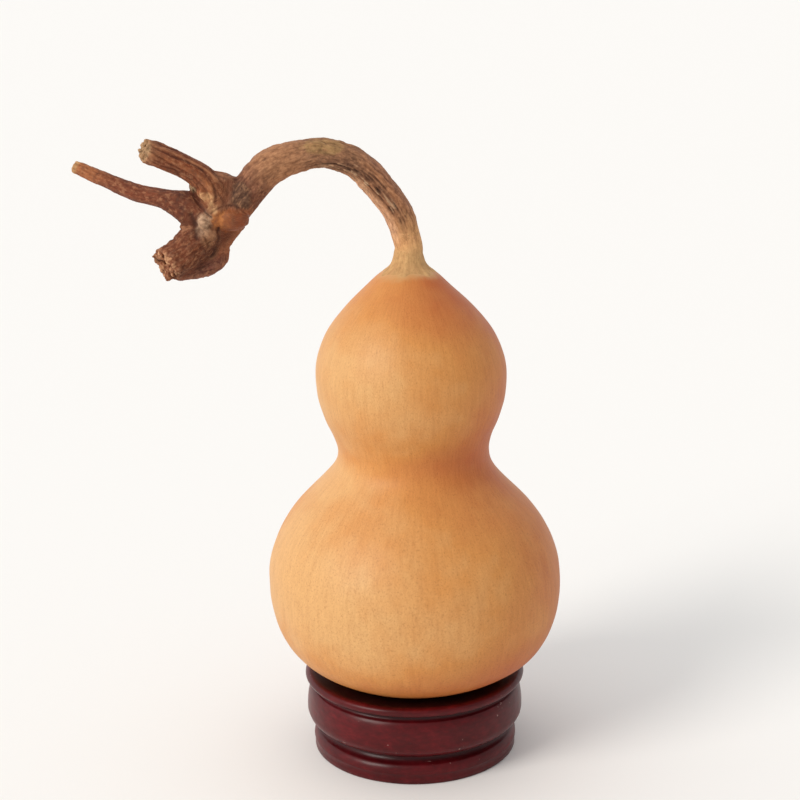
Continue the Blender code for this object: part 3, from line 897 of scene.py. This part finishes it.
# Patches of the bark: (colour, its share everywhere, its share more on mottled spots, centre, half sizes,
# softness of the edge, seed). The first are laid under the scar of the node, the others after it.
LOW_PATCHES = (
    ("#764023", 0.6, 0.0, (-54.6, -9.5, 181.2), (3.6, 3.4, 4.6), 0.25, 11),
    ("#634835", 0.8, 0.0, (-50.0, -9.5, 180.2), (2.9, 4.0, 4.6), 0.25, 8),
    ("#B6945F", 0.75, 0.0, (-24.5, -7.5, 194.5), (7.0, 4.5, 2.4), 0.25, 1),
    ("#B08062", 0.5, 0.0, (-55.6, -7.5, 186.0), (3.4, 3.0, 1.5), 0.25, 9),
)
HIGH_PATCHES = (
    ("#EBB782", 0.4, 0.6, (-60.3, -12.0, 179.9), (2.8, 2.6, 1.5), 0.25, 3),
    ("#EDBB86", 0.4, 0.6, (-58.1, -12.4, 177.0), (1.5, 2.0, 1.9), 0.25, 4),
    ("#BFA184", 0.9, 0.0, (-61.0, -13.2, 172.6), (2.3, 2.6, 3.4), 0.4, 5),
    ("#EBC8A8", 0.0, 1.0, (-61.0, -13.2, 172.6), (2.3, 2.6, 3.4), 0.4, 5),
    ("#705030", 0.5, 0.0, (-58.6, -13.4, 168.0), (2.9, 2.8, 3.2), 0.5, 6),
    ("#C7946C", 0.0, 0.5, (-58.6, -13.4, 168.0), (2.9, 2.8, 3.2), 0.5, 6),
    ("#CDB78F", 0.8, 0.0, (-63.9, -7.4, 183.0), (1.5, 2.2, 1.7), 0.25, 7),
    ("#C18863", 0.0, 0.8, (-66.5, -10.6, 170.9), (2.4, 1.8, 1.3), 0.25, 10),
)
# The scar's paler middle and its redder right side, laid the same way, the second on the scar alone.
SCAR_MIDDLE = ("#C87C3A", 0.35, 0.65, (-56.6, -12.2, 173.6), (3.4, 3.0, 2.8), 0.5, 12)
SCAR_SIDE = ("#8A3C1C", 0.55, 0.0, (-50.6, -11.0, 172.6), (2.6, 4.0, 3.0), 0.5, 14)


def patched(colour, points, mottle, patches, where=1.0):
    """Rows of colours with patches laid over them in turn."""
    for shade, plain, mottled, centre, half_sizes, edge, seed in patches:
        share = (plain + mottled * mottle) * where
        colour = blend(colour, shade, share * spot(points, centre, half_sizes, edge, seed))
    return colour


def stem_tint(points, grain, angle, weights, faces):
    """The bark's broad colours: the arch, the redder vines with their paler tips and painted shade under the
    lower vine, the node's own patches, and pale wood where the vines are broken."""
    along = [g[:, 2] for g in grain]
    stalk = graded(along[2], "#70361B", ("#864427", 12, 24), ("#BF7748", 34, 46), ("#D5A773", 46.4, 47.8))
    lower = graded(along[3], "#7A3E20", ("#864829", 11, 17))
    # Painted shade: the lower vine's underside, turned from the light, is darkened.
    lower = blend(lower, "#4F2713", 0.6 * smoothstep(radians(95), radians(150), angle[3]))
    fold = graded(along[4], "#BA7854", ("#8A5444", 9, 14))
    limbs = (arch_tint(grain[0], angle[0]), vine_tint(along[1], angle[1]), stalk, lower, fold)
    colour = sum(w[:, None] * c for w, c in zip(weights, limbs))
    mottle = smoothstep(-0.5, 0.4, layered_noise(points / 0.8, 70, 3))
    colour = patched(colour, points, mottle, LOW_PATCHES)
    scar = scar_at(points, 1.12)
    colour = blend(colour, "#A0561F", scar)
    colour = patched(colour, points, mottle, [SCAR_MIDDLE])
    colour = patched(colour, points, mottle, [SCAR_SIDE], scar)
    colour = blend(colour, "#703213", 0.30 * (1 - mottle) * scar)
    colour = patched(colour, points, mottle, HIGH_PATCHES)
    upper_face, lower_face = faces
    colour = blend(colour, "#BF9E75", upper_face)
    colour = blend(colour, "#905332", lower_face)
    pale = smoothstep(0.0, 0.5, layered_noise(points / 1.2 + 4.0, 72, 2))
    return blend(colour, "#E7B387", 0.85 * pale * lower_face)


# The breaks of the upper and the lower vine: (limb, share of its radius that is bare wood, slant in
# millimetres).
BREAKS = ((1, 0.92, 1.0), (3, 0.90, 1.4))


def broken_faces(grain, limbs):
    """For each break, 1 on its bare face and 0 on the bark. Then how deep in a hollow behind a face points
    are, 0 to 1; make_stem paints shade into these hollows."""
    faces, hollows = [], []
    for k, inside, slant in BREAKS:
        radius = limbs[k].radii[-1]
        over, front, along = grain[k].T
        face = limbs[k].along[-1] - slant * front / radius
        within = smoothstep(inside + 0.12, inside - 0.04, np.hypot(over, front) / radius)
        bare = smoothstep(face - 1.2, face - 0.3, along)
        faces.append(within * bare)
        hollows.append(within * (1 - bare) * smoothstep(face - 3.4, face - 2.6, along))
    return faces, np.maximum(*hollows)


# How far one limb's bark runs into the next one's, and how far apart the limbs read their noises.
LIMB_BLEND = 0.5
LIMBS_APART = 40.0
# How high the crumbs of bare wood stand, and the share of a crevice's depth that is cut into the skin; all
# of it is darkened as painted shade.
PITH_HEIGHT = 0.22
CREVICE_CUT = 0.8


def make_stem():
    """The limbs and lumps under one skin, relaxed, then raised along its normals by the bark's relief and
    sunk along the node's crevices."""
    limbs = stem_limbs()
    (_, _, upper_slant), (_, _, lower_slant) = BREAKS
    bodies = [
        limb_body(limbs[0], 7, 0.028, 1.6, 31),
        limb_body(limbs[1], 6, 0.04, 1.1, 32, cup=0.6, ragged=0.8, slant=upper_slant),
        limb_body(limbs[2], 5, 0.05, 0.8, 33),
        limb_body(limbs[3], 6, 0.05, 0.9, 34, cup=0.9, ragged=1.2, slant=lower_slant),
        limb_body(limbs[4], 4, 0.09, 1.4, 35),
    ]
    bodies += crumbs(limbs[1], 16, 0.75, upper_slant, 42)
    bodies += crumbs(limbs[3], 36, 0.86, lower_slant, 141)
    bodies += [knob(*lump, 50 + i) for i, lump in enumerate(NODE_LUMPS)]
    mesh = fused("stem_bark", bodies)
    edges = read_rows(mesh.edges, "vertices", 2, np.int32)
    points = relaxed(read_rows(mesh.vertices, "co", 3).astype(float) / MM, edges, 2)
    grain, angle, outside = zip(*(limb_places(points, limb) for limb in limbs))
    weights = np.exp(-(np.stack(outside) - np.min(outside, axis=0)) / LIMB_BLEND)
    weights /= weights.sum(axis=0)
    height, painted_crack_shade = stem_relief(grain, angle, weights)
    scar = scar_at(points, 1.10)
    faces, hollows = broken_faces(grain, limbs)
    height = height * (1 - 0.6 * scar) + PITH_HEIGHT * sum(faces) * layered_noise(points / 0.9, 71, 2)
    crevices = crevice_depth(points, front_paths(points, CREVICES)) * (1 - 0.9 * scar)
    move_points(mesh, points)
    normals = relaxed(read_rows(mesh.vertices, "normal", 3).astype(float), edges, 2)
    normals /= np.maximum(np.linalg.norm(normals, axis=1, keepdims=True), 1e-6)
    raised = points + normals * (height - CREVICE_CUT * crevices)[:, None]
    mesh.shade_smooth()
    move_points(mesh, raised)
    piece = in_scene("stem_bark", mesh)
    # How far each point lies below its neighbours' mean, as a share of a sharp bend, -1 to 1.
    foot = weights[0] * smoothstep(18, 7, grain[0][:, 2])
    below = ((neighbour_mean(raised, edges) - raised) * normals).sum(axis=1)
    sunk = relaxed(np.clip(below / (0.9 * VOXEL**2), -1, 1), edges, 2) * (1 - 0.9 * np.maximum(scar, foot))
    # Painted shade: cracks, strand valleys, the furrow, crevices, the hollows behind the breaks and sunken
    # points are darkened.
    dark = np.maximum(np.maximum(painted_crack_shade * (1 - 0.95 * scar), crevices), 0.35 * hollows)
    mixed = sum(w[:, None] * (g + LIMBS_APART * k) for k, (w, g) in enumerate(zip(weights, grain)))
    keep_values(piece, "grain", mixed)
    keep_values(piece, "bark_tint", stem_tint(points, grain, angle, weights, faces))
    # The depth attribute is painted shade, laid over the bark's colour in near black.
    keep_values(piece, "depth", np.clip(dark + 0.55 * np.clip(sunk, 0, 1), 0, 1))
    keep_values(piece, "proud", np.clip(-sunk, 0, 1))
    keep_values(piece, "calm", np.maximum(0.5 * scar, 0.55 * foot))
    keep_values(piece, "polish", scar)
    return piece


def bark_material():
    """The dry, woody stalk and vine of a gourd: corky bark over long fibres. It is dead matt, tan to
    red-brown, with painted shade down in its cracks and hollows, paler along its worn ridges, and smooth only
    on the scar of the node."""
    made, add, shader = new_material("dry vine bark")
    tint, grain = (add("Attribute", out="Vector", attribute_name=n) for n in ("bark_tint", "grain"))
    values = ("depth", "proud", "calm", "polish")
    depth, proud, calm, polish = (add("Attribute", out="Fac", attribute_name=n) for n in values)
    marked = add("MapRange", {"Value": calm, "To Min": 0.7, "To Max": 0.12})
    # Fibres about 0.5 mm apart and 3.5 mm long.
    streaks = [(0.30, "#B09A88"), (0.50, "#E6DED8"), (0.68, "#FFFFFF")]
    fibres, threaded = speckled(add, tint, marked, grain, (0.55, 0.55, 3.5), 3.0, 0.6, streaks)
    # Weathered blotches about 2 mm across, dark ones and pale ones.
    blotches = [(0.34, "#FFFFFF"), (0.46, "#E0D8D2"), (0.56, "#D2C8C0"), (0.68, "#8E7668")]
    _, weathered = speckled(add, threaded, marked, grain, (2.0, 2.0, 2.0), 4.0, 0.7, blotches)
    # Flakes about 1 mm across: pinkish where the bark has come off, dark where dirt has stayed.
    stretch = add("Mapping", {"Vector": grain, "Scale": (1 / 0.9, 1 / 0.9, 1 / 1.6)})
    flakes = add("TexNoise", {"Vector": stretch, "Scale": 1.0, "Detail": 3.0, "Roughness": 0.7})
    bare = add("MapRange", {"Value": flakes, "From Min": 0.51, "From Max": 0.67, "To Max": 0.50})
    dirt = add("MapRange", {"Value": flakes, "From Min": 0.46, "From Max": 0.30, "To Max": 0.75})
    # Then paler worn ridges, and painted shade in hollows and cracks.
    laid = [(bare, marked, "#CC9268"), (dirt, marked, "#4A2818")]
    laid += [(proud, 0.35, "#CE9C76"), (depth, 0.80, "#341C12")]
    colour = weathered
    for amount, share, shade in laid:
        factor = add("Math", {0: amount, 1: share}, operation="MULTIPLY")
        colour = add("Mix", {"Factor": factor, "A": colour, "B": linear(shade)}, **OVER)
    rough = add("MapRange", {"Value": polish, "To Min": 0.86, "To Max": 0.52})
    relief = add("Mix", {"Factor": 0.5, "A": fibres, "B": flakes}, data_type="FLOAT")
    bump = add("Bump", {"Height": relief, "Strength": 0.5, "Distance": 0.0004})
    feed(shader, {"Base Color": colour, "Roughness": rough, "IOR": 1.45, "Normal": bump})
    return made


# The studio


def make_camera():
    """A long lens at the photograph's angle, a little above the object and turned slightly clockwise."""
    made = in_scene("camera", bpy.data.cameras.new("camera"))
    turn = (
        Matrix.Rotation(radians(-CAMERA_PAN), 4, "Z")
        @ Matrix.Rotation(radians(90 - CAMERA_TILT), 4, "X")
        @ Matrix.Rotation(radians(-CAMERA_ROLL), 4, "Z")
    )
    made.matrix_world = Matrix.Translation([c * MM for c in CAMERA_PLACE]) @ turn
    made.data.lens = CAMERA_LENS
    made.data.clip_start = 0.05
    bpy.context.scene.camera = made


def make_floor():
    """A plain pale floor, so wide that its edge is never in view."""
    half = 60.0
    corners = [(-half, -half, 0), (half, -half, 0), (half, half, 0), (-half, half, 0)]
    mesh = bpy.data.meshes.new("floor")
    mesh.from_pydata(corners, [], [(0, 1, 2, 3)])
    floor = in_scene("floor", mesh)
    paint, _, shader = new_material("pale matt studio floor")
    feed(shader, {"Base Color": linear("#F2F1EF"), "Roughness": 0.95, "Specular IOR Level": 0.1})
    floor.data.materials.append(paint)


def light_studio():
    """A broad soft key light from the left and in front, under a pale dome that is brightest behind the
    object and to its left, as a white backdrop by a window is."""
    key = bpy.data.lights.new("broad window light", "SUN")
    key.energy = KEY_STRENGTH
    key.angle = radians(KEY_WIDTH)
    key.color = linear("#FFFAF3")[:3]
    made = in_scene("broad window light", key)
    lowered = Matrix.Rotation(radians(90 - KEY_HEIGHT), 4, "X")
    made.matrix_world = Matrix.Rotation(radians(-KEY_SIDE), 4, "Z") @ lowered
    world = bpy.data.worlds.new("studio dome")
    bpy.context.scene.world = world
    world.use_nodes = True
    add = partial(add_node, world.node_tree)
    direction = add("TexCoord", out="Generated")
    behind = add("VectorMath", {0: direction, 1: DOME_SIDE}, operation="DOT_PRODUCT")
    limits = {"From Min": -0.7, "From Max": 0.7, "To Min": DOME_LEAST, "To Max": DOME_MOST}
    strength = add("MapRange", {"Value": behind, **limits})
    feed(world.node_tree.nodes["Background"], {"Color": linear("#FFFFFF"), "Strength": strength})
    bpy.context.scene.view_settings.view_transform = "Standard"


make_camera()
make_floor()
light_studio()
stand_for(make_gourd(), "gourd_fruit", rind_material())
stand_for(make_stand(), "turned_stand", lacquer_material())
stand_for(make_stem(), "dried_stem", bark_material())
